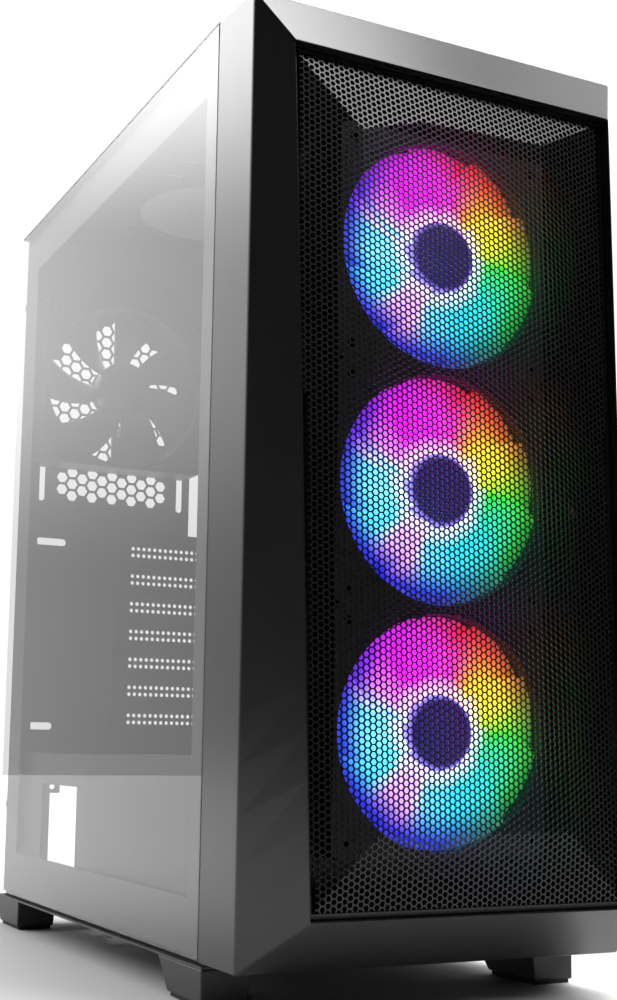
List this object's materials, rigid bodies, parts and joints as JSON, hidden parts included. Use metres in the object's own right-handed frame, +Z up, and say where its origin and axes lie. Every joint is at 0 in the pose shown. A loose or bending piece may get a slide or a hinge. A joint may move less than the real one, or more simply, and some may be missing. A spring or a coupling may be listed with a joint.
{
  "type": "desktop computer tower",
  "caption": "Upright computer case with a faceted mesh front, lit front fans, a rear fan, a smoked glass side and short feet; no mainboard or power supply fitted.",
  "frame": {"origin": "on the floor, under the centre of the whole case's outline", "axes": "+X is the right-hand side seen from the front, +Y points to the rear, +Z is up"},
  "size_m": [0.2138, 0.4544, 0.4913],
  "materials": {
    "case_steel": "black powder coat, satin",
    "mesh_steel": "perforated black sheet, satin",
    "moulded_black": "fine-grained black moulding",
    "fan_plastic": "black moulding",
    "bearing_metal": "turned",
    "lit_rotor": "translucent, lit from the hub in a rainbow of colours",
    "dark_rotor": "black moulding",
    "brass_standoff": "turned",
    "rubber": "matt",
    "black_screw": "black zinc",
    "smoked_glass": "tempered, smoked, black printed border",
    "filter_net": "fine woven net",
    "circuit_board": "green lacquer",
    "port_metal": "plated",
    "port_plastic": "black"
  },
  "bodies": {
    "chassis": {"front_fan_wall": "case_steel", "bottom_panel": "case_steel", "top_panel": "case_steel", "rear_panel": "case_steel", "motherboard_tray": "case_steel", "motherboard_standoffs": "brass_standoff", "cable_grommets": "rubber", "psu_shroud": "case_steel", "psu_pads": "rubber", "drive_cage": "case_steel", "expansion_cover_1": "case_steel", "expansion_cover_2": "case_steel", "expansion_cover_3": "case_steel", "expansion_cover_4": "case_steel", "expansion_cover_5": "case_steel", "expansion_cover_6": "case_steel", "expansion_cover_7": "case_steel", "expansion_screws": "black_screw", "expansion_screw_cover": "case_steel", "fan_top_frame": "fan_plastic", "fan_top_bearing": "bearing_metal", "fan_middle_frame": "fan_plastic", "fan_middle_bearing": "bearing_metal", "fan_bottom_frame": "fan_plastic", "fan_bottom_bearing": "bearing_metal", "fan_rear_frame": "fan_plastic", "fan_rear_bearing": "bearing_metal", "fan_screws_front": "black_screw", "fan_screws_rear": "black_screw", "io_housing": "moulded_black", "io_circuit_board": "circuit_board", "usb_ports": "port_metal", "audio_jacks": "port_plastic", "foot_front_left": "moulded_black", "foot_front_right": "moulded_black", "foot_rear_left": "moulded_black", "foot_rear_right": "moulded_black", "foot_pads": "rubber"},
    "front_cover": {"front_bezel": "moulded_black", "front_mesh": "mesh_steel", "bezel_clips": "fan_plastic"},
    "fan_top": {"fan_top_rotor": "lit_rotor"},
    "fan_middle": {"fan_middle_rotor": "lit_rotor"},
    "fan_bottom": {"fan_bottom_rotor": "lit_rotor"},
    "fan_rear": {"fan_rear_rotor": "dark_rotor"},
    "left_panel": {"left_glass": "smoked_glass", "left_panel_frame": "case_steel"},
    "right_panel": {"right_side_panel": "case_steel"},
    "thumbscrew_left_lower_body": {"thumbscrew_left_lower": "black_screw"},
    "thumbscrew_left_upper_body": {"thumbscrew_left_upper": "black_screw"},
    "thumbscrew_right_lower_body": {"thumbscrew_right_lower": "black_screw"},
    "thumbscrew_right_upper_body": {"thumbscrew_right_upper": "black_screw"},
    "top_filter": {"top_filter_frame": "moulded_black", "top_filter_mesh": "filter_net"},
    "psu_filter_tray": {"psu_filter": "moulded_black"},
    "power_key": {"power_button": "moulded_black"},
    "reset_key": {"reset_button": "moulded_black"}
  },
  "joints": [
    {"name": "front_cover_pull", "type": "slide", "parent": "chassis", "child": "front_cover", "axis": [0, -1, 0], "range_m": [0, 0.1]},
    {"name": "fan_top_spin", "type": "hinge", "parent": "chassis", "child": "fan_top", "pos_m": [0, -0.1828, 0.3705], "axis": [0, 1, 0], "continuous": true},
    {"name": "fan_middle_spin", "type": "hinge", "parent": "chassis", "child": "fan_middle", "pos_m": [0, -0.1828, 0.2505], "axis": [0, 1, 0], "continuous": true},
    {"name": "fan_bottom_spin", "type": "hinge", "parent": "chassis", "child": "fan_bottom", "pos_m": [0, -0.1828, 0.1305], "axis": [0, 1, 0], "continuous": true},
    {"name": "fan_rear_spin", "type": "hinge", "parent": "chassis", "child": "fan_rear", "pos_m": [-0.0375, 0.1934, 0.3802], "axis": [0, 1, 0], "continuous": true},
    {"name": "left_panel_slide", "type": "slide", "parent": "chassis", "child": "left_panel", "axis": [0, 1, 0], "range_m": [0, 0.39]},
    {"name": "right_panel_slide", "type": "slide", "parent": "chassis", "child": "right_panel", "axis": [0, 1, 0], "range_m": [0, 0.39]},
    {"name": "thumbscrew_left_lower_turn", "type": "hinge", "parent": "left_panel", "child": "thumbscrew_left_lower_body", "pos_m": [-0.096, 0.2206, 0.0805], "axis": [0, 1, 0], "continuous": true},
    {"name": "thumbscrew_left_upper_turn", "type": "hinge", "parent": "left_panel", "child": "thumbscrew_left_upper_body", "pos_m": [-0.096, 0.2206, 0.4405], "axis": [0, 1, 0], "continuous": true},
    {"name": "thumbscrew_right_lower_turn", "type": "hinge", "parent": "right_panel", "child": "thumbscrew_right_lower_body", "pos_m": [0.096, 0.2206, 0.0805], "axis": [0, 1, 0], "continuous": true},
    {"name": "thumbscrew_right_upper_turn", "type": "hinge", "parent": "right_panel", "child": "thumbscrew_right_upper_body", "pos_m": [0.096, 0.2206, 0.4405], "axis": [0, 1, 0], "continuous": true},
    {"name": "top_filter_lift", "type": "slide", "parent": "chassis", "child": "top_filter", "axis": [0, 0, 1], "range_m": [0, 0.1]},
    {"name": "psu_filter_slide", "type": "slide", "parent": "chassis", "child": "psu_filter_tray", "axis": [0, 1, 0], "range_m": [0, 0.18]},
    {"name": "power_press", "type": "slide", "parent": "chassis", "child": "power_key", "axis": [0, 0, -1], "range_m": [0, 0.0015], "stiffness_N_per_m": 500, "springref_m": -0.0005},
    {"name": "reset_press", "type": "slide", "parent": "chassis", "child": "reset_key", "axis": [0, 0, -1], "range_m": [0, 0.0015], "stiffness_N_per_m": 400, "springref_m": -0.0005}
  ]
}
